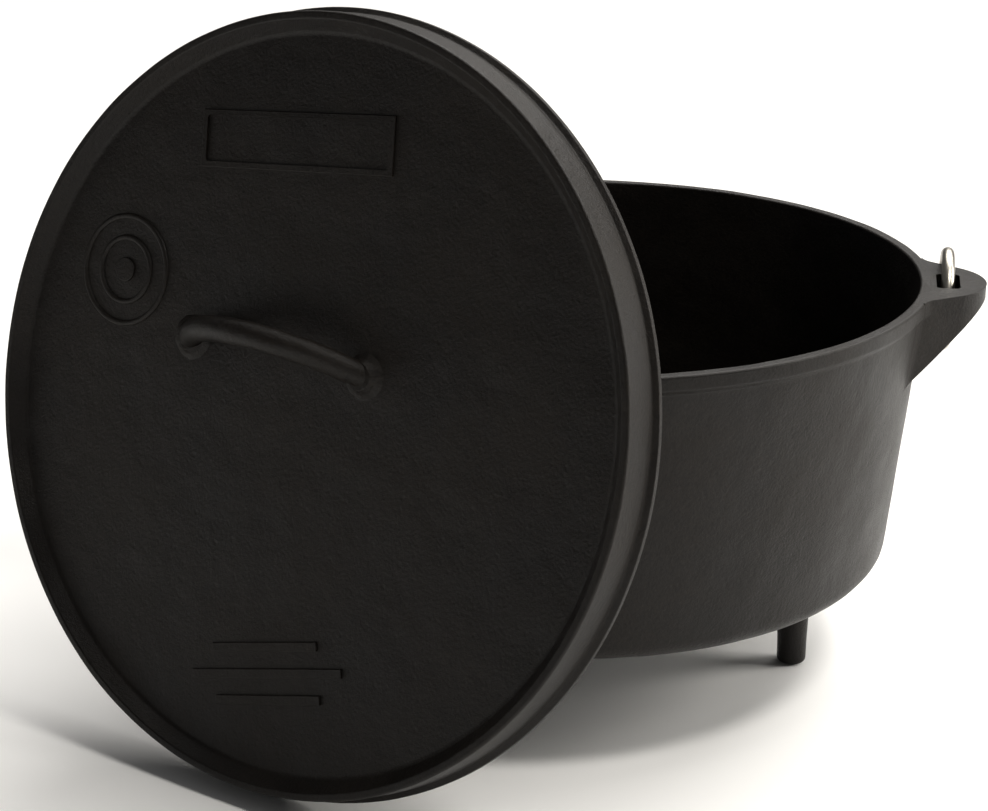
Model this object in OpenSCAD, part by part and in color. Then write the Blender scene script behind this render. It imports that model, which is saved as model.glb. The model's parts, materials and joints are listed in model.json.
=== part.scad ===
// Deep cast iron camp oven: a three-legged pot with two bail ears, a wire bail,
// and a flanged lid with a coal rim and an arched loop handle, leaning on the pot.
// Millimetres. +Z is up. The origin is on the pot's axis, in the plane of its three feet.

/* [Pot] */
// Outer radius of the rim
rim_r = 160; // [130:1:200]
// Width of the flat top face of the rim
rim_face_w = 5.7; // [5:0.1:8]
// Height of the thicker band below the rim
rim_band_h = 9; // [6:0.5:14]
// How far the band stands out from the wall
rim_band_step = 2.5; // [1.5:0.1:4]
// Depth of the pot from its rim to its underside
pot_depth = 130; // [95:1:170]
// How far the wall draws in between the band and the underside
wall_draw = 12.7; // [8:0.1:18]
// Thickness of the wall
wall_t = 5; // [4:0.1:6]
// Thickness of the floor
floor_t = 5.5; // [4:0.1:8]
// Outer radius where the wall meets the underside
base_round = 9; // [6:0.5:12]
// Inner radius where the wall meets the floor
floor_round = 13; // [8:0.5:18]

/* [Legs] */
// Height of the legs, from the ground to the underside
leg_h = 52; // [30:1:70]
// Radius of a leg just above its foot
leg_foot_r = 6.8; // [5.5:0.1:9]
// Radius of a leg just below its root
leg_root_r = 8; // [7:0.1:11]
// Rounding of the foot's edge
leg_foot_round = 2.6; // [1:0.1:4]
// Fillet between leg and underside
leg_fillet = 5; // [2:0.5:7]
// Distance of the legs from the pot's axis
leg_place_r = 107; // [90:1:115]
// Direction of the first leg
leg_turn = -17.8; // [-60:0.1:60]

/* [Ears] */
// Direction of the line through both ears
ear_turn = -9; // [-30:0.5:30]
// How far an ear reaches out from the rim
ear_reach = 23.3; // [20:0.1:30]
// Radius of an ear's blunt tip in plan
ear_tip_r = 27; // [24:0.5:30]
// Angle of an ear's flanks to the ear line
ear_flank = 34.3; // [30:0.1:40]
// Thickness of an ear at its tip
ear_tip_t = 6; // [5:0.1:9]
// Depth of an ear where it meets the wall
ear_root_t = 34.5; // [28:0.5:36]
// Gap between the rim and an ear's slot
slot_wall = 1.5; // [1:0.1:3]
// Clearance on each side of the bail wire in the slot
slot_clear = 2; // [1.5:0.1:3]
// Length of the slot
slot_len = 22; // [20:0.5:24]
// Rounding of the slot's corners
slot_round = 2; // [1:0.1:3]

/* [Bail] */
// Diameter of the bail wire
wire_d = 6; // [5:0.1:7]
// How much thinner the drawn-down arc is than the eyes
arc_thinning = 0.3; // [0.2:0.05:0.6]
// Clearance between an eye and the strip of ear inside it
eye_clear = 1; // [0.5:0.1:2]
// Gap where the wire's end nearly closes the eye
eye_gap = 24; // [15:1:40]
// How far the eye laps past the arm before that gap
eye_lap = 20; // [15:1:30]
// How far the centre of the bail's arc lies past its hinge line, on the side away from the arc
bail_arc_back = 8; // [4:0.5:20]
// Least clearance between the hanging bail and the pot's wall
bail_wall_gap = 1; // [0.5:0.1:3]
// Slope of the bail below level when it hangs behind the pot
bail_droop = 35; // [28:0.5:37]

/* [Lid] */
// Overhang of the lid's flange past the pot's rim
flange_over = 1.5; // [0.5:0.1:4]
// Height of the flange's edge
flange_h = 4.4; // [3:0.1:7]
// Step from the flange's edge to the coal rim's wall
flange_step = 2.4; // [1:0.1:4]
// Height of the coal rim above the flange's seat
coal_rim_h = 20.1; // [17:0.1:26]
// Draft of the coal rim's outer wall
coal_rim_draft = 0.9; // [0.4:0.1:2]
// Width of the coal rim's top
coal_rim_w = 3.4; // [2.5:0.1:6]
// Width of the slope inside the coal rim
coal_slope_w = 5; // [3:0.1:8]
// Depth of the lid's face below the coal rim's top
face_drop = 6; // [4:0.1:9]
// Thickness of the lid's plate
plate_t = 6; // [5:0.1:7]
// Clearance between the locating lip and the pot's mouth
lip_clear = 1.3; // [0.8:0.1:3]
// Width of the locating lip
lip_w = 4; // [3:0.1:6]
// Depth of the locating lip below the flange's seat
lip_h = 3; // [2:0.1:5]

/* [Lid handle] */
// Span of the handle between the centres of its feet
handle_span = 90; // [60:1:110]
// Rise of the handle's centre line above the lid's face
handle_rise = 25; // [22:0.5:32]
// Diameter of the handle's bar
handle_d = 11.4; // [9:0.1:14]
// Radius of the casting's collar round each foot
foot_collar_r = 8.6; // [7.5:0.1:12]
// Height of that collar
foot_collar_h = 4.5; // [2:0.1:7]
// Lean of the handle away from square to the face
handle_lean = 22; // [0:1:25]
// Handle's place across the lid, from the lid's centre
handle_across = -13.6; // [-20:0.1:20]
// Handle's place up the lid, from the lid's centre
handle_up = 18.4; // [-20:0.1:25]

/* [Raised work on the lid] */
// Height of all raised work above the face
relief_h = 1; // [0.5:0.1:2]
// Length of the blank upper panel
panel_l = 98; // [60:1:120]
// Height of the blank upper panel
panel_w = 24; // [16:1:30]
// Width of the raised border
border_w = 2.6; // [1.5:0.1:4]
// Turn of the upper panel
panel_turn = 5.4; // [-15:0.1:15]
// Upper panel's place, across and up the lid
panel_place = [-18, 105]; // [-120:0.5:120]
// Outer radius of the roundel
roundel_r = 24; // [16:0.5:30]
// Roundel's place, across and up the lid
roundel_place = [-100, 40]; // [-120:0.5:120]
// Turn of the lower bars
bars_turn = 14.4; // [-15:0.1:20]
// Lower bars' place, across and up the lid
bars_place = [4, -112]; // [-120:0.5:120]
// Length of the longest lower bar
bars_l = 78; // [50:1:90]

/* [Where the lid leans] */
// Lean of the lid back from upright
lid_lean = 14.85; // [12:0.05:20]
// Direction in which the lid's top faces
lid_turn = -34.8; // [-60:0.1:0]
// Sideways shift of the lid along its own width
lid_side = -21.3; // [-40:0.1:20]
// Gap between the lid's underside and the rim it leans on
lean_gap = 0.4; // [0.3:0.05:1]

/* [Hidden] */
$fn = 96;
sliver = 0.01;
mouth_r = rim_r - rim_face_w;
rim_z = leg_h + pot_depth;
wall_top_r = rim_r - rim_band_step;
wall_low_r = wall_top_r - wall_draw;
wall_angle = atan(wall_draw / (pot_depth - rim_band_h));
edge_round = 1.4;

// Wire, eyes and slot
wire_r = wire_d / 2;
slot_w = wire_d + 2 * slot_clear;
slot_mid = rim_r + slot_wall + slot_w / 2;
ear_tip_mid = rim_r + ear_reach - ear_tip_r;
ear_back = ear_tip_r * cos(ear_flank) + (ear_tip_mid + ear_tip_r * sin(ear_flank) - (slot_mid - wire_r))
    * tan(ear_flank);
ear_under_slope = (ear_root_t - ear_tip_t) / (rim_r + ear_reach - wall_top_r);
strip_t = ear_tip_t + ear_under_slope * (rim_r + ear_reach - (slot_mid - wire_r));
strip_w = ear_back - slot_len / 2;
hinge_back = slot_len / 2 + strip_w / 2;
hinge_z = rim_z - strip_t / 2;
eye_r = norm([strip_w, strip_t]) / 2 + eye_clear + wire_r;
bail_arc_r = norm([slot_mid, eye_r + bail_arc_back]);
bail_half = asin(slot_mid / bail_arc_r);

// Straight arms, as long as the hanging bail needs to clear the wall behind the pot
wall_reach = wall_low_r - hinge_back + (hinge_z - leg_h) * tan(wall_angle)
    + ((wire_d - arc_thinning) / 2 + bail_wall_gap) / cos(wall_angle);
bail_arm = max(0, wall_reach * cos(wall_angle) / cos(bail_droop - wall_angle) - (bail_arc_r - bail_arc_back));

// Lid levels, above the flange's seat
face_z = coal_rim_h - face_drop;
under_z = face_z - plate_t;
flange_r = rim_r + flange_over;
coal_foot_r = flange_r - flange_step;
coal_top_r = coal_foot_r - coal_rim_draft;
coal_in_r = coal_top_r - coal_rim_w;
disc_r = coal_in_r - coal_slope_w;
lip_r = mouth_r - lip_clear;
foot_sweep = 12;

// The lid stands on its edge on the ground and its underside rests on the rim
lid_mid_z = flange_r * cos(lid_lean);
lid_out = rim_r + ((rim_z - lid_mid_z) * sin(lid_lean) - under_z + lean_gap) / cos(lid_lean);

iron = "#2b2724";
steel = "#c9cbcc";

// ---- Pot ----

// Outline of the wall and underside, filled in to the axis
module pot_outer_outline() {
    round_r = wall_low_r + base_round * tan(wall_angle) - base_round / cos(wall_angle);
    difference() {
        polygon([[0, leg_h], [round_r, leg_h], [wall_low_r + base_round * tan(wall_angle), leg_h + base_round],
            [wall_top_r, rim_z - rim_band_h], [rim_r, rim_z - rim_band_h + rim_band_step],
            [rim_r, rim_z - edge_round], [rim_r - edge_round, rim_z], [0, rim_z]]);
        translate([round_r, leg_h]) difference() {
            translate([0, -sliver]) square([2 * base_round, base_round + sliver]);
            translate([0, base_round]) circle(base_round);
        }
    }
}

// Outline of the hollow
module pot_hollow_outline() {
    low_r = wall_low_r - wall_t;
    difference() {
        polygon([[0, leg_h + floor_t], [low_r, leg_h + floor_t], [mouth_r, rim_z - edge_round],
            [mouth_r, rim_z + 1], [0, rim_z + 1]]);
        difference() {
            translate([low_r - floor_round, leg_h]) square([2 * floor_round, floor_t + floor_round]);
            translate([low_r - floor_round, leg_h + floor_t + floor_round]) circle(floor_round);
            translate([low_r - 2 * floor_round, leg_h + floor_t + floor_round / 2])
                square([floor_round, floor_round]);
        }
    }
}

module pot_shell() {
    color(iron) rotate_extrude($fn = 180) difference() {
        pot_outer_outline();
        pot_hollow_outline();
    }
}

// Plan of an ear: a blunt tip with straight flanks that run back to the wall
module ear_plan() {
    flank_x = ear_tip_mid + ear_tip_r * sin(ear_flank);
    flank_y = ear_tip_r * cos(ear_flank);
    root_x = rim_r - 2 * rim_face_w;
    root_y = flank_y + (flank_x - root_x) * tan(ear_flank);
    difference() {
        union() {
            translate([ear_tip_mid, 0]) circle(ear_tip_r, $fn = 120);
            polygon([[root_x, -root_y], [flank_x, -flank_y], [flank_x, flank_y], [root_x, root_y]]);
        }
        translate([ear_tip_mid - 2 * ear_tip_r, -2 * ear_tip_r])
            square([root_x - ear_tip_mid + 2 * ear_tip_r, 4 * ear_tip_r]);
    }
}

// Plan of the slot that the bail's eye passes through
module slot_plan() {
    for (side = [-1, 1]) {
        translate([slot_mid - slot_w / 2, side * (slot_len / 2 - slot_round) - slot_round])
            square([slot_w, 2 * slot_round]);
    }
    translate([slot_mid - slot_w / 2, slot_round - slot_len / 2]) square([slot_w, slot_len - 2 * slot_round]);
}

// A wedge flush with the rim, its underside rising from the wall to the tip
module ear() {
    tip_x = rim_r + ear_reach;
    difference() {
        intersection() {
            translate([0, 0, rim_z - 2 * ear_root_t]) linear_extrude(2 * ear_root_t) ear_plan();
            rotate([90, 0, 0]) linear_extrude(4 * ear_tip_r, center = true)
                polygon([[0, rim_z], [tip_x + 1, rim_z], [tip_x + 1, rim_z - ear_tip_t + ear_under_slope],
                    [0, rim_z - ear_tip_t - ear_under_slope * tip_x]]);
        }
        translate([0, 0, rim_z - 2 * ear_root_t]) linear_extrude(3 * ear_root_t) slot_plan();
        rotate_extrude($fn = 180) pot_outer_outline();
    }
}

module pot_ear_right() {
    color(iron) rotate(ear_turn) ear();
}

module pot_ear_left() {
    color(iron) rotate(ear_turn + 180) mirror([0, 1, 0]) ear();
}

// A tapered peg with a rounded foot and a fillet at its root
module leg(which) {
    rotate(leg_turn + 120 * which) translate([leg_place_r, 0, 0]) rotate_extrude($fn = 64) {
        difference() {
            polygon([[0, 0], [leg_foot_r - leg_foot_round, 0], [leg_foot_r, leg_foot_round],
                [leg_root_r, leg_h - leg_fillet], [leg_root_r + leg_fillet, leg_h], [0, leg_h]]);
            translate([leg_root_r + leg_fillet, leg_h - leg_fillet]) circle(leg_fillet);
        }
    }
}

module pot_leg_front() {
    color(iron) leg(0);
}

module pot_leg_rear() {
    color(iron) leg(1);
}

module pot_leg_left() {
    color(iron) leg(2);
}

// ---- Lid ----

// Places what is drawn on the lid's own seat plane where the lid leans
module leaning() {
    translate([lid_side * cos(lid_turn) + lid_out * sin(lid_turn),
        lid_side * sin(lid_turn) - lid_out * cos(lid_turn), lid_mid_z])
        rotate([90 - lid_lean, 0, lid_turn]) children();
}

module lid_disc() {
    color(iron) leaning() translate([0, 0, under_z]) cylinder(h = plate_t, r = disc_r, $fn = 180);
}

// Flange, coal rim and locating lip, in one ring round the disc
module lid_coal_rim() {
    color(iron) leaning() rotate_extrude($fn = 180)
        polygon([[disc_r, under_z], [lip_r - lip_w, under_z], [lip_r - lip_w, -lip_h], [lip_r, -lip_h],
            [lip_r, 0], [flange_r, 0], [flange_r, flange_h - edge_round], [coal_foot_r, flange_h],
            [coal_top_r, coal_rim_h - edge_round], [coal_top_r - edge_round, coal_rim_h],
            [coal_in_r, coal_rim_h], [disc_r, face_z]]);
}

// An arched bar on two collars, trimmed flush with the lid's face
module lid_handle() {
    half = handle_span / 2;
    arc_r = (half * half + handle_rise * handle_rise) / (2 * handle_rise);
    arc_half = atan2(half, arc_r - handle_rise) + foot_sweep;
    color(iron) leaning() translate([handle_across, handle_up, face_z]) difference() {
        union() {
            rotate([-handle_lean, 0, 0]) translate([0, 0, handle_rise - arc_r]) rotate([90, 0, 0])
                rotate(90 - arc_half) rotate_extrude(angle = 2 * arc_half, $fn = 120)
                    translate([arc_r, 0]) circle(handle_d / 2, $fn = 48);
            for (side = [-1, 1]) {
                translate([side * half, 0, -1])
                    cylinder(h = foot_collar_h + 1, r1 = foot_collar_r, r2 = handle_d / 2 - 0.4, $fn = 48);
            }
        }
        translate([-handle_span, -handle_span, -2 * handle_d])
            cube([2 * handle_span, 2 * handle_span, 2 * handle_d]);
    }
}

// A blank panel with a raised border, above the handle
module lid_panel_border() {
    color(iron) leaning() translate([panel_place[0], panel_place[1], face_z]) rotate(panel_turn) difference() {
        translate([-panel_l / 2, -panel_w / 2, 0]) cube([panel_l, panel_w, relief_h]);
        translate([border_w - panel_l / 2, border_w - panel_w / 2, -1])
            cube([panel_l - 2 * border_w, panel_w - 2 * border_w, relief_h + 2]);
    }
}

// Two plain rings round a boss, left of the handle
module lid_roundel() {
    color(iron) leaning() translate([roundel_place[0], roundel_place[1], face_z]) {
        for (ring_r = [roundel_r, roundel_r * 0.62]) {
            difference() {
                cylinder(h = relief_h, r = ring_r);
                translate([0, 0, -1]) cylinder(h = relief_h + 2, r = ring_r - border_w);
            }
        }
        cylinder(h = relief_h, r = roundel_r * 0.22);
    }
}

// Three plain bars below the handle, the longest in the middle
module lid_lower_bars() {
    bar_w = 1.6 * border_w;
    color(iron) leaning() translate([bars_place[0], bars_place[1], face_z]) rotate(bars_turn) {
        for (row = [-1, 0, 1]) {
            bar_l = bars_l * (1 - 0.3 * abs(row));
            translate([-bar_l / 2, row * 2.6 * bar_w, 0]) cube([bar_l, bar_w, relief_h]);
        }
    }
}

// ---- Bail ----

// Eye round an ear's strip, in the YZ plane, open by eye_gap where the wire ends
module eye() {
    rotate([0, 90, 0]) rotate(90 + eye_lap + eye_gap) rotate_extrude(angle = 360 - eye_gap, $fn = 120)
        translate([eye_r, 0]) circle(wire_r, $fn = 32);
}

// The wire arc between the eyes, with its hinge line along X
module bail() {
    for (side = [-1, 1]) {
        translate([side * slot_mid, 0, 0]) eye();
    }
    if (bail_arm > 0) {
        for (side = [-1, 1]) {
            translate([side * slot_mid, eye_r, 0]) rotate([-90, 0, 0])
                cylinder(h = bail_arm + wire_r, d = wire_d - arc_thinning / 2, $fn = 32);
        }
    }
    translate([0, bail_arm - bail_arc_back, 0]) rotate(90 - bail_half) rotate_extrude(angle = 2 * bail_half, $fn = 180)
        translate([bail_arc_r, 0]) circle((wire_d - arc_thinning) / 2, $fn = 32);
}

module bail_wire() {
    color(steel) rotate(ear_turn) translate([0, hinge_back, hinge_z]) rotate([-bail_droop, 0, 0]) bail();
}

pot_shell();
pot_ear_right();
pot_ear_left();
pot_leg_front();
pot_leg_rear();
pot_leg_left();
lid_disc();
lid_coal_rim();
lid_handle();
lid_panel_border();
lid_roundel();
lid_lower_bars();
bail_wire();
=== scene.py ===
"""Deep cast iron camp oven: the pot and lid castings and the wire bail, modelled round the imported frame."""

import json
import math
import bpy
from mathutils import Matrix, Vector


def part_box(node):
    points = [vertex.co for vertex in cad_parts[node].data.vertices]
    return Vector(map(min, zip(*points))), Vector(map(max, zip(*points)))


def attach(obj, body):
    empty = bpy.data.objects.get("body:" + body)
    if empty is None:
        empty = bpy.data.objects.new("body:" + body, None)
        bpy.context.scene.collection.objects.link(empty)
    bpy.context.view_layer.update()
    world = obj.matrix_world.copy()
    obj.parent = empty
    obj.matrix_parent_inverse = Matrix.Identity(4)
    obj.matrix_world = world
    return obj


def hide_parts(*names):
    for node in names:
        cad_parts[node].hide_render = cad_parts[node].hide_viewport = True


bl_info = {
    "name": "Camp Oven Parts",
    "version": (1, 0, 0),
    "blender": (4, 5, 0),
    "location": "3D View > Sidebar > Camp Oven",
    "description": "Models a three-legged cast iron camp oven, its leaning lid and its wire bail",
    "category": "Add Mesh",
}

import bpy
from mathutils import Matrix, Vector

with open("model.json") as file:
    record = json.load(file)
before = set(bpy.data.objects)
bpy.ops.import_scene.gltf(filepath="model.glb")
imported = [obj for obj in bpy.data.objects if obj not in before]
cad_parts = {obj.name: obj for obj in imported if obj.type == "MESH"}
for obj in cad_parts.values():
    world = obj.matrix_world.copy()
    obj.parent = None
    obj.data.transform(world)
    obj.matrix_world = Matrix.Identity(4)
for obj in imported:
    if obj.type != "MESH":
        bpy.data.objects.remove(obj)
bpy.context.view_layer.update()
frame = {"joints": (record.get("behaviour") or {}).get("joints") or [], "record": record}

MM = 0.001
ROUND_STEPS = 288
EDGE = 1.4 * MM
LEAN_GAP = 0.4 * MM
WELD = 0.002 * MM
FLOOR_SIZE = 60
WORLD_STRENGTH = 0.1
CAMERA_PLACE = (-0.0362, -1.0051, 0.4724)
CAMERA_DROP = 19.61
CAMERA_LENS = 84.13
SHELL_LOW, SHELL_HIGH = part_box("pot_shell")
RIM_RADIUS = (SHELL_HIGH.x - SHELL_LOW.x) / 2
RIM_TOP = SHELL_HIGH.z
UNDERSIDE = SHELL_LOW.z
POT_NODES = list(frame["record"]["behaviour"]["bodies"]["pot"])
LID_NODES = list(frame["record"]["behaviour"]["bodies"]["lid"])
LEG_NODES = [node for node in POT_NODES if node.startswith("pot_leg")]
HINGE = next(j for j in frame["joints"] if j["name"] == "bail_swing")
EAR_TURN = math.atan2(HINGE["axis"][1], HINGE["axis"][0])


# ---- Sizes and colours that a user would change ----


def length(name, default, description):
    """A length property in metres."""
    return bpy.props.FloatProperty(name=name, description=description, default=default, unit="LENGTH")


def angle(name, degrees, description):
    """An angle property, given in degrees."""
    return bpy.props.FloatProperty(
        name=name, description=description, default=math.radians(degrees), subtype="ANGLE", unit="ROTATION"
    )


def tint(name, default, description):
    """An sRGB hex colour."""
    return bpy.props.StringProperty(name=name, description=description, default=default)


class OvenPotSizes(bpy.types.PropertyGroup):
    rim_face: length("Rim face", 5.7 * MM, "Width of the rim's flat top")
    band_height: length("Band height", 9 * MM, "Height of the thicker band below the rim")
    band_step: length("Band step", 2.5 * MM, "How far the band stands out from the wall")
    wall_draw: length("Wall draw", 12.7 * MM, "How far the wall draws in towards the underside")
    wall: length("Wall", 5 * MM, "Thickness of the wall")
    floor: length("Floor", 5.5 * MM, "Thickness of the floor")
    base_round: length("Base rounding", 9 * MM, "Outer radius between wall and underside")
    floor_round: length("Floor rounding", 13 * MM, "Inner radius between wall and floor")
    ear_reach: length("Ear reach", 23.3 * MM, "How far an ear reaches out from the rim")
    ear_tip_radius: length("Ear tip radius", 27 * MM, "Radius of an ear's blunt tip in plan")
    ear_flank: angle("Ear flank", 34.3, "Angle of an ear's flanks to the ear line")
    ear_tip_depth: length("Ear tip depth", 6 * MM, "Thickness of an ear at its tip")
    ear_root_depth: length("Ear root depth", 34.5 * MM, "Depth of an ear where it meets the wall")
    ear_fillet: length("Ear fillet", 9 * MM, "Concave radius where an ear's flank meets the rim")
    ear_under_fillet: length("Ear under fillet", 8 * MM, "Concave radius between an ear's underside and the wall")
    slot_wall: length("Slot wall", 1.5 * MM, "Gap between the rim and an ear's slot")
    slot_round: length("Slot rounding", 2 * MM, "Rounding of the slot's edges")
    slot_width: length("Slot width", 10 * MM, "Width of an ear's slot")
    slot_length: length("Slot length", 22 * MM, "Length of an ear's slot")
    foot_radius: length("Foot radius", 6.8 * MM, "Radius of a leg above its foot")
    leg_root_radius: length("Leg root radius", 8 * MM, "Radius of a leg below its root")
    foot_round: length("Foot rounding", 2.6 * MM, "Rounding of the foot's edge")
    leg_fillet: length("Leg fillet", 5 * MM, "Concave radius between leg and underside")


class OvenLidSizes(bpy.types.PropertyGroup):
    flange_radius: length("Flange radius", 161.5 * MM, "Outer radius of the flange")
    flange_height: length("Flange height", 4.4 * MM, "Height of the flange's edge")
    flange_step: length("Flange step", 2.4 * MM, "Step from the flange to the coal rim")
    rim_height: length("Coal rim height", 20.1 * MM, "Height of the coal rim over the seat")
    rim_draft: length("Coal rim draft", 0.9 * MM, "Draft of the coal rim's outer wall")
    rim_width: length("Coal rim width", 3.4 * MM, "Width of the coal rim's top")
    slope_width: length("Slope width", 5 * MM, "Width of the slope inside the coal rim")
    face_drop: length("Face drop", 6 * MM, "Depth of the face below the coal rim's top")
    plate: length("Plate", 6 * MM, "Thickness of the lid's plate")
    lip_radius: length("Lip radius", 153 * MM, "Outer radius of the locating lip")
    lip_width: length("Lip width", 4 * MM, "Width of the locating lip")
    lip_height: length("Lip height", 3 * MM, "Depth of the locating lip below the seat")
    lean: angle("Lean", 14.85, "Lean of the lid back from upright")
    turn: angle("Turn", -34.8, "Direction in which the lid's top faces")
    place_across: length("Sideways shift", 21.3 * MM, "Shift of the lid to the left along its width")
    handle_span: length("Handle span", 90 * MM, "Span of the handle between its feet")
    handle_rise: length("Handle rise", 25 * MM, "Rise of the handle's centre line")
    handle_bar: length("Handle bar", 11.4 * MM, "Diameter of the handle's bar")
    handle_lean: angle("Handle lean", 22, "Lean of the handle from square to the face")
    collar_radius: length("Collar radius", 8.6 * MM, "Radius of the casting's collar round each foot")
    collar_height: length("Collar height", 4.5 * MM, "Height of that collar")
    handle_across: length("Handle across", -13.6 * MM, "Handle's place across the lid")
    handle_up: length("Handle up", 18.4 * MM, "Handle's place up the lid")
    relief: length("Relief", 1 * MM, "Height of the raised work")
    border: length("Border", 2.6 * MM, "Width of the raised borders")
    panel_length: length("Panel length", 98 * MM, "Length of the blank upper panel")
    panel_width: length("Panel height", 24 * MM, "Height of the blank upper panel")
    panel_across: length("Panel across", -18 * MM, "Upper panel's place across the lid")
    panel_up: length("Panel up", 105 * MM, "Upper panel's place up the lid")
    panel_turn: angle("Panel turn", 5.4, "Turn of the upper panel")
    roundel_radius: length("Roundel radius", 24 * MM, "Outer radius of the roundel")
    roundel_across: length("Roundel across", -100 * MM, "Roundel's place across the lid")
    roundel_up: length("Roundel up", 40 * MM, "Roundel's place up the lid")
    bars_length: length("Bar length", 78 * MM, "Length of the longest lower bar")
    bars_across: length("Bars across", 4 * MM, "Lower bars' place across the lid")
    bars_up: length("Bars up", -112 * MM, "Lower bars' place up the lid")
    bars_turn: angle("Bars turn", 14.4, "Turn of the lower bars")


class OvenBailSizes(bpy.types.PropertyGroup):
    wire: length("Wire", 6 * MM, "Diameter of the bail's wire")
    eye_radius: length("Eye radius", 20.26 * MM, "Radius of an eye's centre line")
    eye_place: length("Eye place", 166.5 * MM, "Distance of an eye from the pot's axis")
    arc_back: length("Arc centre", 8 * MM, "How far the arc's centre lies in front of the hinge line")
    droop: angle("Droop", 35, "Slope of the bail when it hangs behind the pot")


class OvenFinish(bpy.types.PropertyGroup):
    iron: tint("Iron", "#0D0A08", "Oil-seasoned iron")
    iron_worn: tint("Worn iron", "#17130F", "Iron where the seasoning is thin")
    wire: tint("Wire", "#B2AEA5", "Bright plated wire")
    floor: tint("Floor", "#FBFBFA", "Studio floor")


# ---- Modelling helpers ----


def deselect():
    if bpy.context.object and bpy.context.object.mode != "OBJECT":
        bpy.ops.object.mode_set(mode="OBJECT")
    bpy.ops.object.select_all(action="DESELECT")


def take(piece):
    """Makes a piece the only selected and active object."""
    deselect()
    piece.select_set(True)
    bpy.context.view_layer.objects.active = piece


def pick(piece, test):
    """In edit mode, selects the vertices whose place passes a test."""
    bpy.ops.mesh.select_mode(type="VERT")
    bpy.ops.mesh.select_all(action="DESELECT")
    bpy.ops.object.mode_set(mode="OBJECT")
    for vertex in piece.data.vertices:
        vertex.select = test(vertex.co)
    bpy.ops.object.mode_set(mode="EDIT")


def arc(centre, radius, start, end, pieces):
    """Points on an arc round a centre, from one direction to another, in radians."""
    turns = [start + (end - start) * k / pieces for k in range(pieces + 1)]
    return [Vector((centre[0] + radius * math.cos(t), centre[1] + radius * math.sin(t))) for t in turns]


def section(corners, spacing=5 * MM):
    """A half section from corners of (radius, height, rounding), with its long runs divided."""
    points = [Vector(corners[0][:2])]
    for before, here, after in zip(corners, corners[1:], corners[2:]):
        corner = Vector(here[:2])
        back = (Vector(before[:2]) - corner).normalized()
        on = (Vector(after[:2]) - corner).normalized()
        if here[2] == 0:
            points.append(corner)
            continue
        half = back.angle(on) / 2
        centre = corner + (back + on).normalized() * here[2] / math.sin(half)
        first = corner + back * here[2] / math.tan(half) - centre
        last = corner + on * here[2] / math.tan(half) - centre
        start = math.atan2(first.y, first.x)
        sweep = (math.atan2(last.y, last.x) - start + math.pi) % (2 * math.pi) - math.pi
        points += arc(centre, here[2], start, start + sweep, max(2, round(abs(sweep) / 0.2)))
    points.append(Vector(corners[-1][:2]))
    outline = [points[0]]
    for a, b in zip(points, points[1:]):
        pieces = max(1, round((b - a).length / spacing))
        outline += [a.lerp(b, k / pieces) for k in range(1, pieces + 1)]
    return outline


def turned(name, outline, steps=ROUND_STEPS):
    """A closed body of revolution, extruded ring by ring up a half section that starts and ends on the axis."""
    deselect()
    radius, height = outline[1]
    bpy.ops.mesh.primitive_circle_add(vertices=steps, radius=radius, fill_type="TRIFAN", location=(0, 0, height))
    piece = bpy.context.object
    piece.name = name
    bpy.ops.object.transform_apply(location=True, rotation=False, scale=False)
    bpy.ops.object.mode_set(mode="EDIT")
    pick(piece, lambda place: place.xy.length > radius / 2)
    for next_radius, next_height in outline[2:-1]:
        bpy.ops.mesh.extrude_region_move(TRANSFORM_OT_translate={"value": (0, 0, next_height - height)})
        share = next_radius / radius
        bpy.ops.transform.resize(value=(share, share, 1), center_override=(0, 0, next_height))
        radius, height = next_radius, next_height
    bpy.ops.mesh.extrude_region_move(TRANSFORM_OT_translate={"value": (0, 0, outline[-1].y - height)})
    bpy.ops.mesh.merge(type="CENTER")
    bpy.ops.mesh.select_all(action="SELECT")
    bpy.ops.mesh.normals_make_consistent(inside=False)
    bpy.ops.object.mode_set(mode="OBJECT")
    return piece


def stacked(name, levels):
    """A closed block extruded through outlines that all have the same number of (x, y, z) points."""
    deselect()
    bpy.ops.mesh.primitive_circle_add(vertices=len(levels[0]), radius=1, fill_type="NGON")
    piece = bpy.context.object
    piece.name = name
    for vertex, place in zip(piece.data.vertices, levels[0]):
        vertex.co = place
    for low, high in zip(levels, levels[1:]):
        bpy.ops.object.mode_set(mode="EDIT")
        bpy.ops.mesh.extrude_region_move(TRANSFORM_OT_translate={"value": (0, 0, 0)})
        bpy.ops.object.mode_set(mode="OBJECT")
        for vertex in piece.data.vertices:
            if vertex.select:
                nearest = min(range(len(low)), key=lambda k: (Vector(low[k]) - vertex.co).length)
                vertex.co = high[nearest]
    bpy.ops.object.mode_set(mode="EDIT")
    bpy.ops.mesh.select_all(action="SELECT")
    bpy.ops.mesh.normals_make_consistent(inside=False)
    bpy.ops.object.mode_set(mode="OBJECT")
    return piece


def modified(piece, kind, **settings):
    """Adds a modifier with its settings and applies it."""
    take(piece)
    modifier = piece.modifiers.new(kind.title(), kind)
    for key, value in settings.items():
        setattr(modifier, key, value)
    bpy.ops.object.modifier_apply(modifier=modifier.name)
    return piece


def rounded(piece, width, segments=3, over=30):
    """Rounds a piece's edges where it turns by more than an angle."""
    return modified(piece, "BEVEL", width=width, segments=segments, limit_method="ANGLE",
                    angle_limit=math.radians(over), harden_normals=False)


def carved(piece, tool, operation):
    """Cuts a tool out of a piece, or unites them, and removes the tool."""
    modified(piece, "BOOLEAN", object=tool, operation=operation, solver="EXACT")
    bpy.data.objects.remove(tool, do_unlink=True)
    take(piece)
    bpy.ops.object.mode_set(mode="EDIT")
    bpy.ops.mesh.select_all(action="SELECT")
    bpy.ops.mesh.remove_doubles(threshold=WELD)
    bpy.ops.object.mode_set(mode="OBJECT")
    return piece


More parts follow.
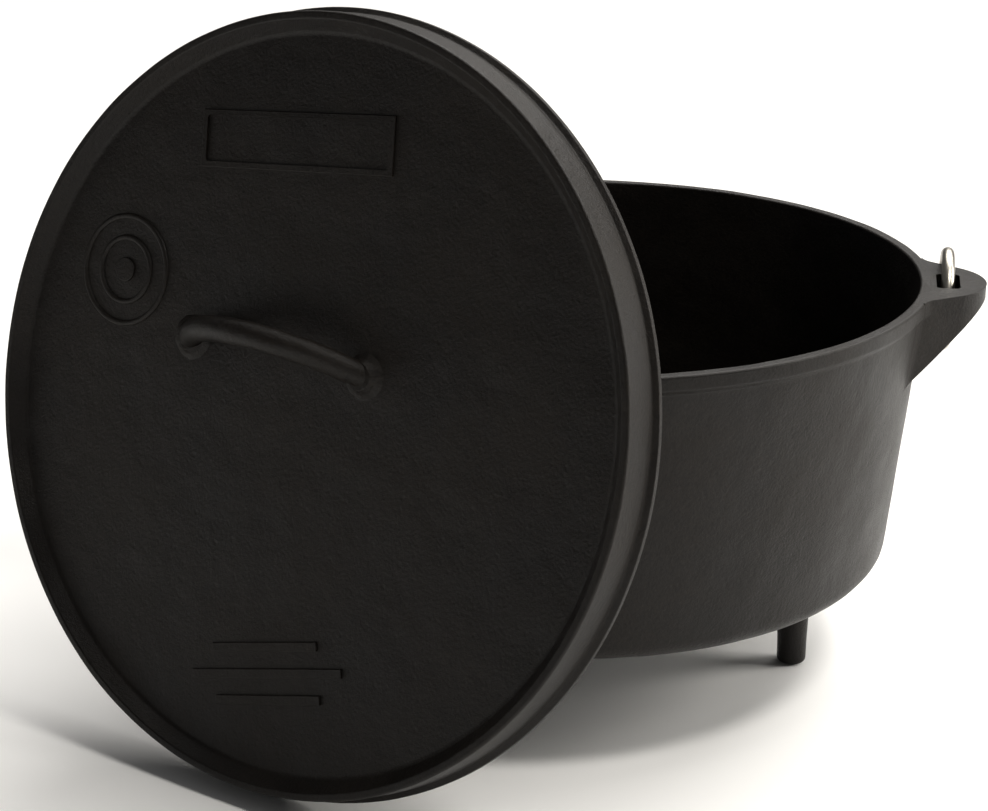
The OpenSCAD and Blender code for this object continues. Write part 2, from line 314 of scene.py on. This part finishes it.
def joined(pieces):
    """One object from several that don't touch."""
    take(pieces[0])
    for piece in pieces:
        piece.select_set(True)
    bpy.ops.object.join()
    return bpy.context.object


def copied(piece, name):
    """A copy of a piece with its own mesh."""
    copy = piece.copy()
    copy.data = piece.data.copy()
    copy.name = name
    bpy.context.scene.collection.objects.link(copy)
    return copy


def placed(piece, matrix):
    """Puts a piece in place in its mesh, so that its object stays at the origin."""
    piece.data.transform(matrix)
    piece.data.update()
    return piece


def uneven(piece, grain, depth):
    """Sinks a piece's skin here and there, never outwards, as in a sand casting that isn't quite true."""
    texture = bpy.data.textures.new(piece.name + "_swell", type="CLOUDS")
    texture.noise_scale = grain
    return modified(piece, "DISPLACE", texture=texture, strength=depth, mid_level=1.0, texture_coords="LOCAL")


def finished(piece, body, finish, nodes, crease=32):
    """Smooths a piece's shading, gives it its finish and hands it to the frame."""
    take(piece)
    bpy.ops.object.shade_smooth_by_angle(angle=math.radians(crease))
    modified(piece, "WEIGHTED_NORMAL", keep_sharp=True, weight=60)
    piece.data.materials.clear()
    piece.data.materials.append(finish)
    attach(piece, body)
    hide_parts(*nodes)
    return piece


# ---- Finishes ----


def linear(code):
    """A linear RGBA colour from an sRGB hex code."""
    parts = [int(code.lstrip("#")[i:i + 2], 16) / 255 for i in (0, 2, 4)]
    return [c / 12.92 if c <= 0.04045 else ((c + 0.055) / 1.055) ** 2.4 for c in parts] + [1.0]


def add(tree, kind, links=None, values=None, **settings):
    """Adds a node with its settings, its socket values and its incoming links."""
    node = tree.nodes.new(kind)
    for key, value in settings.items():
        setattr(node, key, value)
    for socket, value in (values or {}).items():
        node.inputs[socket].default_value = value
    for socket, source in (links or {}).items():
        tree.links.new(source, node.inputs[socket])
    return node


def new_finish(name):
    """An empty material with its shader, its tree and its Object coordinates."""
    finish = bpy.data.materials.new(name)
    finish.use_nodes = True
    tree = finish.node_tree
    place = add(tree, "ShaderNodeTexCoord").outputs["Object"]
    return finish, tree, tree.nodes["Principled BSDF"], place


def seasoned_cast_iron(colours):
    """Sand-cast iron under baked oil: near-black brown, satin, with fine sand grain, shallow pits and soft swells."""
    finish, tree, shader, place = new_finish("seasoned_sand_cast_iron")
    shader.inputs["Metallic"].default_value = 0.0
    shader.inputs["IOR"].default_value = 1.5
    shader.inputs["Specular IOR Level"].default_value = 0.2
    # Seasoning lies in patches of 30 to 60 mm, a little greyer where it is thin
    patches = add(tree, "ShaderNodeTexNoise", {"Vector": place}, {"Scale": 1 / (45 * MM), "Detail": 6.0})
    grains = add(tree, "ShaderNodeTexNoise", {"Vector": place}, {"Scale": 1 / (1.6 * MM), "Detail": 4.0})
    mix = add(tree, "ShaderNodeMath", {0: patches.outputs["Fac"], 1: grains.outputs["Fac"]}, operation="MULTIPLY")
    spread = add(tree, "ShaderNodeMapRange", {"Value": mix.outputs[0]}, {"From Min": 0.16, "From Max": 0.36})
    colour = add(tree, "ShaderNodeMix", {"Factor": spread.outputs[0]}, data_type="RGBA")
    colour.inputs["A"].default_value = linear(colours.iron)
    colour.inputs["B"].default_value = linear(colours.iron_worn)
    tree.links.new(colour.outputs["Result"], shader.inputs["Base Color"])
    gloss = add(tree, "ShaderNodeMapRange", {"Value": patches.outputs["Fac"]},
                {"From Min": 0.3, "From Max": 0.7, "To Min": 0.36, "To Max": 0.5})
    tree.links.new(gloss.outputs[0], shader.inputs["Roughness"])
    # Sand grain is 0.3 to 0.5 mm; it is drawn 1.3 mm wide so that it shows. Pits lie 5 mm apart, swells 22 mm
    sand = add(tree, "ShaderNodeTexNoise", {"Vector": place},
               {"Scale": 1 / (1.3 * MM), "Detail": 5.0, "Roughness": 0.7})
    pits = add(tree, "ShaderNodeTexVoronoi", {"Vector": place}, {"Scale": 1 / (5 * MM)})
    pit_edge = add(tree, "ShaderNodeMapRange", {"Value": pits.outputs["Distance"]},
                   {"From Min": 0.05, "From Max": 0.28})
    swell = add(tree, "ShaderNodeTexNoise", {"Vector": place}, {"Scale": 1 / (22 * MM), "Detail": 2.0})
    bump = add(tree, "ShaderNodeBump", {"Height": swell.outputs["Fac"]}, {"Strength": 1.0, "Distance": 1.0 * MM})
    bump = add(tree, "ShaderNodeBump", {"Height": pit_edge.outputs[0], "Normal": bump.outputs[0]},
               {"Strength": 0.45, "Distance": 0.15 * MM})
    bump = add(tree, "ShaderNodeBump", {"Height": sand.outputs["Fac"], "Normal": bump.outputs[0]},
               {"Strength": 1.0, "Distance": 0.32 * MM})
    tree.links.new(bump.outputs[0], shader.inputs["Normal"])
    return finish


def bright_plated_wire(colours):
    """Zinc-plated drawn steel wire: light grey metal, softly mirrored, with fine marks from the die."""
    finish, tree, shader, place = new_finish("bright_zinc_plated_wire")
    shader.inputs["Base Color"].default_value = linear(colours.wire)
    shader.inputs["Metallic"].default_value = 1.0
    # Plating frosts in spots of about 1.5 mm
    frost = add(tree, "ShaderNodeTexNoise", {"Vector": place}, {"Scale": 1 / (1.5 * MM), "Detail": 4.0})
    gloss = add(tree, "ShaderNodeMapRange", {"Value": frost.outputs["Fac"]}, {"To Min": 0.22, "To Max": 0.4})
    tree.links.new(gloss.outputs[0], shader.inputs["Roughness"])
    bump = add(tree, "ShaderNodeBump", {"Height": frost.outputs["Fac"]}, {"Strength": 0.3, "Distance": 0.04 * MM})
    tree.links.new(bump.outputs[0], shader.inputs["Normal"])
    return finish


def studio_floor(colours):
    """Matt paper sweep, faintly mottled."""
    finish, tree, shader, place = new_finish("matt_paper_sweep")
    shader.inputs["Base Color"].default_value = linear(colours.floor)
    shader.inputs["Roughness"].default_value = 0.9
    fibre = add(tree, "ShaderNodeTexNoise", {"Vector": place}, {"Scale": 1 / (3 * MM), "Detail": 2.0})
    bump = add(tree, "ShaderNodeBump", {"Height": fibre.outputs["Fac"]}, {"Strength": 0.1, "Distance": 0.05 * MM})
    tree.links.new(bump.outputs[0], shader.inputs["Normal"])
    return finish


def shared_finish(name, maker, colours):
    """A finish that several pieces share, made once."""
    return bpy.data.materials.get(name) or maker(colours)


# ---- Pot ----


def wall_radius(sizes, height):
    """Outer radius of the tapering wall at a height."""
    top = RIM_TOP - sizes.band_height
    return RIM_RADIUS - sizes.band_step - sizes.wall_draw * (top - height) / (top - UNDERSIDE)


def pot_section(sizes):
    """Half section of the shell: underside, wall, rim band, mouth and floor."""
    band_foot = RIM_TOP - sizes.band_height
    mouth = RIM_RADIUS - sizes.rim_face
    floor_top = UNDERSIDE + sizes.floor
    soft = sizes.band_step * 0.7
    return section([
        (0, UNDERSIDE, 0),
        (wall_radius(sizes, UNDERSIDE), UNDERSIDE, sizes.base_round),
        (wall_radius(sizes, band_foot), band_foot, soft),
        (RIM_RADIUS, band_foot + sizes.band_step, soft),
        (RIM_RADIUS, RIM_TOP, EDGE),
        (mouth, RIM_TOP, EDGE),
        (wall_radius(sizes, UNDERSIDE) - sizes.wall, floor_top, sizes.floor_round),
        (0, floor_top, 0),
    ])


def ear_plan(sizes, wall):
    """Plan of an ear on a wall of that radius: a blunt tip, straight flanks and concave fillets."""
    tip_middle = RIM_RADIUS + sizes.ear_reach - sizes.ear_tip_radius
    out = Vector((math.sin(sizes.ear_flank), math.cos(sizes.ear_flank)))
    along = Vector((-out.y, out.x))
    off = Vector((tip_middle, 0)).dot(out) + sizes.ear_tip_radius + sizes.ear_fillet
    centre = off * out - along * math.sqrt((wall + sizes.ear_fillet) ** 2 - off ** 2)
    half = arc((tip_middle, 0), sizes.ear_tip_radius, 0, math.pi / 2 - sizes.ear_flank, 14)
    half += arc(centre, sizes.ear_fillet, math.atan2(-out.y, -out.x), math.atan2(-centre.y, -centre.x), 10)
    root = math.atan2(centre.y, centre.x)
    inner = wall - 0.8 * sizes.wall
    half += [Vector((inner * math.cos(root * k / 6), inner * math.sin(root * k / 6))) for k in (6, 4, 2)]
    return half + [Vector((inner, 0))] + [Vector((p.x, -p.y)) for p in half[:0:-1]]


def ear(sizes, name):
    """An ear along +X: a wedge flush with the rim, cut away below and pierced for the bail's eye."""
    band_foot = RIM_TOP - sizes.band_height
    low = RIM_TOP - 2 * sizes.ear_root_depth
    levels = []
    for height, wall in (
        (RIM_TOP, RIM_RADIUS),
        (band_foot + sizes.band_step, RIM_RADIUS),
        (band_foot, wall_radius(sizes, band_foot)),
        (low, wall_radius(sizes, low)),
    ):
        levels.append([(p.x, p.y, height) for p in ear_plan(sizes, wall)])
    piece = stacked(name, levels)
    # The underside rises from a fillet on the wall to the thin tip, all round the pot's axis
    tip = RIM_RADIUS + sizes.ear_reach
    # The wedge runs a little inside the wall below the ear
    sunk = 0.4 * MM
    root = wall_radius(sizes, RIM_TOP - sizes.ear_root_depth) - sunk
    slope = (sizes.ear_root_depth - sizes.ear_tip_depth) / (tip - RIM_RADIUS + sizes.band_step)
    beyond = 20 * MM
    keep = turned("ear_wedge", section([
        (0, low - beyond, 0),
        (wall_radius(sizes, low - beyond) - sunk, low - beyond, 0),
        (root, RIM_TOP - sizes.ear_tip_depth - slope * (tip - root), sizes.ear_under_fillet),
        (tip + beyond, RIM_TOP - sizes.ear_tip_depth + slope * beyond, 0),
        (tip + beyond, RIM_TOP + beyond, 0),
        (0, RIM_TOP + beyond, 0),
    ]))
    carved(piece, keep, "INTERSECT")
    rounded(piece, EDGE, over=35)
    # Slot for the eye, with rounded corners
    deselect()
    slot_at = RIM_RADIUS + sizes.slot_wall + sizes.slot_width / 2
    bpy.ops.mesh.primitive_cube_add(size=1, location=(slot_at, 0, RIM_TOP - sizes.ear_root_depth / 2))
    slot = bpy.context.object
    slot.scale = (sizes.slot_width, sizes.slot_length, 2 * sizes.ear_root_depth)
    bpy.ops.object.transform_apply(location=True, rotation=False, scale=True)
    rounded(slot, sizes.slot_round, segments=5)
    return carved(piece, slot, "DIFFERENCE")


def leg(sizes, name):
    """A tapered peg with a rounded foot, a filleted root and a stub that reaches into the floor."""
    root = sizes.leg_root_radius
    flare = root + sizes.leg_fillet
    corners = [
        (0, 0, 0),
        (sizes.foot_radius, 0, sizes.foot_round),
        (root, UNDERSIDE, sizes.leg_fillet * 0.999),
        (flare, UNDERSIDE, 0),
        (flare, UNDERSIDE + sizes.floor / 2, 0),
        (0, UNDERSIDE + sizes.floor / 2, 0),
    ]
    return turned(name, section(corners, 3 * MM), steps=96)


class CampOvenAddPot(bpy.types.Operator):
    """Model the pot casting: shell, rim band, two ears and three legs"""

    bl_idname = "camp_oven.add_pot"
    bl_label = "Pot casting"

    def execute(self, context):
        sizes = context.scene.oven_pot
        pot = turned("pot_casting", pot_section(sizes))
        ear_right = ear(sizes, "ear_right")
        ear_left = placed(copied(ear_right, "ear_left"), Matrix.Rotation(EAR_TURN + math.pi, 4, "Z"))
        placed(ear_right, Matrix.Rotation(EAR_TURN, 4, "Z"))
        for piece in (ear_right, ear_left):
            carved(pot, piece, "UNION")
        first = leg(sizes, "leg_front")
        legs = [first, copied(first, "leg_rear"), copied(first, "leg_left")]
        for count, node in enumerate(LEG_NODES):
            low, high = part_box(node)
            middle = (low + high) / 2
            placed(legs[count], Matrix.Translation((middle.x, middle.y, 0)))
        carved(pot, joined(legs), "UNION")
        uneven(pot, 26 * MM, 0.45 * MM)
        iron = shared_finish("seasoned_sand_cast_iron", seasoned_cast_iron, context.scene.oven_finish)
        finished(pot, "pot", iron, POT_NODES)
        return {"FINISHED"}


# ---- Lid ----


def lid_levels(sizes):
    """Heights of the lid's face and of its plate's underside, above the flange's seat."""
    face = sizes.rim_height - sizes.face_drop
    return face, face - sizes.plate


def lid_section(sizes):
    """Half section of the lid: plate, locating lip, flange and coal rim."""
    face, under = lid_levels(sizes)
    foot = sizes.flange_radius - sizes.flange_step
    top = foot - sizes.rim_draft
    inside = top - sizes.rim_width
    return section([
        (0, under, 0),
        (sizes.lip_radius - sizes.lip_width, under, 2.5 * MM),
        (sizes.lip_radius - sizes.lip_width, -sizes.lip_height, 1 * MM),
        (sizes.lip_radius, -sizes.lip_height, 1 * MM),
        (sizes.lip_radius, 0, 1 * MM),
        (sizes.flange_radius, 0, 1.2 * MM),
        (sizes.flange_radius, sizes.flange_height - EDGE, 0.8 * MM),
        (foot, sizes.flange_height, 0.8 * MM),
        (top, sizes.rim_height, EDGE),
        (inside, sizes.rim_height, EDGE),
        (inside - sizes.slope_width, face, 3 * MM),
        (0, face, 0),
    ])


def lid_place(sizes):
    """Where the lid leans: its edge on the ground and its underside on the pot's rim."""
    _, under = lid_levels(sizes)
    middle = sizes.flange_radius * math.cos(sizes.lean)
    reach = (RIM_TOP - middle) * math.sin(sizes.lean) - under + LEAN_GAP
    out = RIM_RADIUS + reach / math.cos(sizes.lean)
    side = Vector((math.cos(sizes.turn), math.sin(sizes.turn), 0)) * -sizes.place_across
    back = Vector((math.sin(sizes.turn), -math.cos(sizes.turn), 0)) * out
    turn = Matrix.Rotation(sizes.turn, 4, "Z") @ Matrix.Rotation(math.pi / 2 - sizes.lean, 4, "X")
    return Matrix.Translation(side + back + Vector((0, 0, middle))) @ turn


def lid_handle(sizes, face):
    """An arched bar spun from a round section, with a flared collar round each foot."""
    half = sizes.handle_span / 2
    radius = (half ** 2 + sizes.handle_rise ** 2) / (2 * sizes.handle_rise)
    overrun = math.radians(9)
    sweep = math.atan2(half, radius - sizes.handle_rise) + overrun
    deselect()
    bpy.ops.mesh.primitive_circle_add(vertices=40, radius=sizes.handle_bar / 2, rotation=(0, math.pi / 2, 0),
                                      location=(0, 0, radius))
    bar = bpy.context.object
    bar.name = "handle_bar"
    bpy.ops.object.transform_apply(location=True, rotation=True, scale=False)
    placed(bar, Matrix.Rotation(-sweep, 4, "Y"))
    bpy.ops.object.mode_set(mode="EDIT")
    bpy.ops.mesh.select_all(action="SELECT")
    # With no window a positive spin turns from the arch's start down below it
    bpy.ops.mesh.spin(steps=72, angle=-2 * sweep, center=(0, 0, 0), axis=(0, 1, 0))
    bpy.ops.mesh.select_all(action="SELECT")
    bpy.ops.mesh.remove_doubles(threshold=WELD)
    bpy.ops.mesh.select_all(action="SELECT")
    bpy.ops.mesh.fill_holes(sides=0)
    bpy.ops.mesh.select_all(action="SELECT")
    bpy.ops.mesh.normals_make_consistent(inside=False)
    bpy.ops.object.mode_set(mode="OBJECT")
    placed(bar, Matrix.Translation((0, 0, sizes.handle_rise - radius)))
    uneven(bar, 9 * MM, 0.6 * MM)
    placed(bar, Matrix.Rotation(-sizes.handle_lean, 4, "X"))
    # The bar's ends are trimmed within the plate, so they don't come out below it
    cut = -0.65 * sizes.plate
    take(bar)
    bpy.ops.object.mode_set(mode="EDIT")
    bpy.ops.mesh.select_all(action="SELECT")
    bpy.ops.mesh.bisect(plane_co=(0, 0, cut), plane_no=(0, 0, 1), use_fill=True, clear_inner=True)
    bpy.ops.object.mode_set(mode="OBJECT")
    collar = turned("handle_collar", section([
        (0, -3 * MM, 0),
        (sizes.collar_radius + 1.5 * MM, -3 * MM, 0),
        (sizes.collar_radius + 1.5 * MM, 0, 0),
        (sizes.collar_radius - 1 * MM, sizes.collar_height * 0.45, 2 * MM),
        (sizes.handle_bar / 2, sizes.collar_height, 1 * MM),
        (0, sizes.collar_height, 0),
    ], 1 * MM), steps=72)
    for side in (-1, 1):
        foot = placed(copied(collar, "handle_foot"), Matrix.Translation((side * half, 0, 0)))
        uneven(foot, 4 * MM, 0.9 * MM)
        carved(bar, foot, "UNION")
    bpy.data.objects.remove(collar, do_unlink=True)
    return placed(bar, Matrix.Translation((sizes.handle_across, sizes.handle_up, face)))


def raised_bar(name, size, height, place, turn=0.0):
    """A low cast bar with soft edges, half sunk in the face."""
    deselect()
    bpy.ops.mesh.primitive_cube_add(size=1)
    bar = bpy.context.object
    bar.name = name
    bar.scale = (size[0], size[1], 2 * height)
    bpy.ops.object.transform_apply(location=False, rotation=False, scale=True)
    rounded(bar, 0.45 * height, segments=3)
    return placed(bar, Matrix.Translation(place) @ Matrix.Rotation(turn, 4, "Z"))


def raised_ring(name, radius, width, height, place):
    """A low cast ring of half-round section, half sunk in the face."""
    deselect()
    bpy.ops.mesh.primitive_torus_add(major_segments=128, minor_segments=24, major_radius=radius - width / 2,
                                     minor_radius=width / 2)
    ring = bpy.context.object
    ring.name = name
    bpy.ops.object.mode_set(mode="EDIT")
    bpy.ops.mesh.select_all(action="SELECT")
    bpy.ops.transform.resize(value=(1, 1, 2 * height / width), center_override=(0, 0, 0))
    bpy.ops.object.mode_set(mode="OBJECT")
    return placed(ring, Matrix.Translation(place))


def raised_work(sizes, face):
    """The blank bordered panel, the plain roundel and the three plain bars."""
    height, border = sizes.relief, sizes.border
    panel_place = Matrix.Translation((sizes.panel_across, sizes.panel_up, face))
    panel_at = panel_place @ Matrix.Rotation(sizes.panel_turn, 4, "Z")
    outer = raised_bar("panel_border", (sizes.panel_length, sizes.panel_width), height, (0, 0, 0))
    inner = raised_bar("panel_field", (sizes.panel_length - 2 * border, sizes.panel_width - 2 * border),
                       3 * height, (0, 0, 0))
    carved(outer, inner, "DIFFERENCE")
    parts = [placed(outer, panel_at)]
    centre = (sizes.roundel_across, sizes.roundel_up, face)
    for share in (1, 0.62):
        parts.append(raised_ring("roundel_ring", sizes.roundel_radius * share, border, height, centre))
    boss = turned("roundel_boss", section([
        (0, -height, 0), (sizes.roundel_radius * 0.22, -height, 0),
        (sizes.roundel_radius * 0.22, height, 0.6 * height), (0, height, 0),
    ], 1 * MM), steps=48)
    parts.append(placed(boss, Matrix.Translation(centre)))
    bar_width = 1.6 * border
    bars_at = Matrix.Translation((sizes.bars_across, sizes.bars_up, face)) @ Matrix.Rotation(sizes.bars_turn, 4, "Z")
    for row in (-1, 0, 1):
        bar_length = sizes.bars_length * (1 - 0.3 * abs(row))
        bar = raised_bar("lower_bar", (bar_length, bar_width), height, (0, (2.6 * row + 0.5) * bar_width, 0))
        parts.append(placed(bar, bars_at))
    return joined(parts)


class CampOvenAddLid(bpy.types.Operator):
    """Model the lid casting with its coal rim, arched handle and raised work, leaning on the pot"""

    bl_idname = "camp_oven.add_lid"
    bl_label = "Lid casting"

    def execute(self, context):
        sizes = context.scene.oven_lid
        face, _ = lid_levels(sizes)
        lid = turned("lid_casting", lid_section(sizes))
        carved(lid, lid_handle(sizes, face), "UNION")
        carved(lid, raised_work(sizes, face), "UNION")
        uneven(lid, 30 * MM, 0.3 * MM)
        placed(lid, lid_place(sizes))
        iron = shared_finish("seasoned_sand_cast_iron", seasoned_cast_iron, context.scene.oven_finish)
        finished(lid, "lid", iron, LID_NODES)
        return {"FINISHED"}


# ---- Bail ----


def eye_path(sizes, side):
    """The wire's way round one eye, from its free end to where it has bent into the arm."""
    radius = sizes.eye_radius
    start, last = math.radians(20 + 24 + 2), math.radians(360 + 26)
    path = [Vector((side * sizes.eye_place, radius * math.cos(t), radius * math.sin(t)))
            for t in (last - (last - start) * (1 - k / 60) for k in range(61))]
    # The free end lies above the arm, and the other end bends back into it
    path = [Vector((p.x, p.y, -p.z)) for p in path]
    leave, arrive = path[-1], bail_point(sizes, side, radius + 9 * MM)
    handle_out = (path[-1] - path[-2]).normalized() * 6 * MM
    handle_in = (bail_point(sizes, side, radius + 10 * MM) - arrive).normalized() * 6 * MM
    for k in range(1, 13):
        t = k / 12
        path.append((1 - t) ** 3 * leave + 3 * t * (1 - t) ** 2 * (leave + handle_out)
                    + 3 * t ** 2 * (1 - t) * (arrive - handle_in) + t ** 3 * arrive)
    return path


def bail_point(sizes, side, back):
    """Point on the bail's arc, that far behind the hinge line."""
    radius = math.hypot(sizes.eye_place, sizes.eye_radius + sizes.arc_back)
    return Vector((side * math.sqrt(radius ** 2 - (back + sizes.arc_back) ** 2), back, 0))


def bail_path(sizes):
    """The whole wire, from one free end to the other, about the hinge line along X."""
    radius = math.hypot(sizes.eye_place, sizes.eye_radius + sizes.arc_back)
    right, left = eye_path(sizes, 1), eye_path(sizes, -1)
    begin = math.asin((sizes.eye_radius + 9 * MM + sizes.arc_back) / radius)
    arch = [Vector((p.x, p.y - sizes.arc_back, 0)) for p in arc((0, 0), radius, begin, math.pi - begin, 140)]
    return right + arch[1:-1] + left[::-1]


class CampOvenAddBail(bpy.types.Operator):
    """Bend the bail's wire into its arc and two eyes, hanging behind the pot"""

    bl_idname = "camp_oven.add_bail"
    bl_label = "Wire bail"

    def execute(self, context):
        sizes = context.scene.oven_bail
        path = bail_path(sizes)
        deselect()
        bpy.ops.curve.primitive_bezier_curve_add()
        wire = bpy.context.object
        wire.name = "bail"
        wire.data.splines.clear()
        spline = wire.data.splines.new("POLY")
        spline.points.add(len(path) - 1)
        for count, place in enumerate(path):
            spline.points[count].co = (*place, 1)
        # The ends were filed round after cutting
        for count, share in ((0, 0.75), (1, 1.0), (-2, 1.0), (-1, 0.75)):
            spline.points[count].radius = share
        wire.data.dimensions = "3D"
        wire.data.bevel_depth = sizes.wire / 2
        wire.data.bevel_resolution = 8
        wire.data.use_fill_caps = True
        take(wire)
        bpy.ops.object.convert(target="MESH")
        bpy.ops.object.mode_set(mode="EDIT")
        bpy.ops.mesh.select_all(action="SELECT")
        bpy.ops.mesh.remove_doubles(threshold=WELD)
        bpy.ops.mesh.normals_make_consistent(inside=False)
        bpy.ops.object.mode_set(mode="OBJECT")
        droop = Matrix.Rotation(-sizes.droop, 4, "X")
        hang = Matrix.Translation(HINGE["pos_m"]) @ Matrix.Rotation(EAR_TURN, 4, "Z") @ droop
        placed(wire, hang)
        steel = shared_finish("bright_zinc_plated_wire", bright_plated_wire, context.scene.oven_finish)
        finished(wire, "bail", steel, ["bail_wire"])
        return {"FINISHED"}


# ---- Stage ----


def soft_light(name, place, aim, size, power, colour=(1.0, 0.965, 0.91)):
    """A square soft light that faces a point, slightly warm."""
    data = bpy.data.lights.new(name, "AREA")
    data.color = colour
    data.size = size
    data.energy = power
    light = bpy.data.objects.new(name, data)
    bpy.context.scene.collection.objects.link(light)
    light.location = place
    light.rotation_euler = (Vector(aim) - Vector(place)).to_track_quat("-Z", "Y").to_euler()


class CampOvenAddStage(bpy.types.Operator):
    """Set the paper sweep, the soft lights and the camera"""

    bl_idname = "camp_oven.add_stage"
    bl_label = "Studio stage"

    def execute(self, context):
        deselect()
        bpy.ops.mesh.primitive_plane_add(size=FLOOR_SIZE, location=(0, 0, 0))
        floor = context.object
        floor.name = "paper_sweep"
        floor.data.materials.append(studio_floor(context.scene.oven_finish))
        world = bpy.data.worlds.new("white_studio")
        world.use_nodes = True
        world.node_tree.nodes["Background"].inputs["Color"].default_value = (1, 1, 1, 1)
        world.node_tree.nodes["Background"].inputs["Strength"].default_value = WORLD_STRENGTH
        context.scene.world = world
        context.scene.view_settings.view_transform = "Standard"
        sun = bpy.data.lights.new("sky_window", "SUN")
        sun.energy = 3.7
        sun.angle = math.radians(60)
        sun.color = (1.0, 0.97, 0.93)
        sky = bpy.data.objects.new("sky_window", sun)
        context.scene.collection.objects.link(sky)
        sky.rotation_euler = (math.radians(-32), math.radians(18), 0)
        soft_light("side_right", (1.9, 0.1, 0.9), (0, 0, 0.1), 1.0, 30)
        soft_light("above_lid", (0.45, -0.35, 1.0), (-0.02, -0.16, 0.28), 0.2, 5)
        data = bpy.data.cameras.new("camera")
        data.lens = CAMERA_LENS
        data.sensor_width = 36
        camera = bpy.data.objects.new("camera", data)
        context.scene.collection.objects.link(camera)
        camera.location = CAMERA_PLACE
        camera.rotation_euler = (math.radians(90 - CAMERA_DROP), 0, 0)
        context.scene.camera = camera
        return {"FINISHED"}


# ---- Add-on ----


class CampOvenPanel(bpy.types.Panel):
    """Lists the camp oven's pieces in the sidebar"""

    bl_idname = "VIEW3D_PT_camp_oven"
    bl_label = "Camp Oven"
    bl_space_type = "VIEW_3D"
    bl_region_type = "UI"
    bl_category = "Camp Oven"

    def draw(self, context):
        for group, operator in GROUPS_AND_OPERATORS:
            box = self.layout.box()
            box.operator(operator.bl_idname)
            values = getattr(context.scene, group)
            for name in type(values).__annotations__:
                box.prop(values, name)


GROUPS_AND_OPERATORS = (
    ("oven_pot", CampOvenAddPot),
    ("oven_lid", CampOvenAddLid),
    ("oven_bail", CampOvenAddBail),
    ("oven_finish", CampOvenAddStage),
)
SIZE_GROUPS = {
    "oven_pot": OvenPotSizes,
    "oven_lid": OvenLidSizes,
    "oven_bail": OvenBailSizes,
    "oven_finish": OvenFinish,
}
CLASSES = (*SIZE_GROUPS.values(), *(operator for _, operator in GROUPS_AND_OPERATORS), CampOvenPanel)


def register():
    for item in CLASSES:
        bpy.utils.register_class(item)
    for name, group in SIZE_GROUPS.items():
        setattr(bpy.types.Scene, name, bpy.props.PointerProperty(type=group))


def unregister():
    for name in SIZE_GROUPS:
        delattr(bpy.types.Scene, name)
    for item in reversed(CLASSES):
        bpy.utils.unregister_class(item)


def main():
    register()
    bpy.ops.camp_oven.add_pot()
    bpy.ops.camp_oven.add_lid()
    bpy.ops.camp_oven.add_bail()
    bpy.ops.camp_oven.add_stage()
    deselect()
    bpy.context.view_layer.update()


if __name__ == "__main__":
    main()
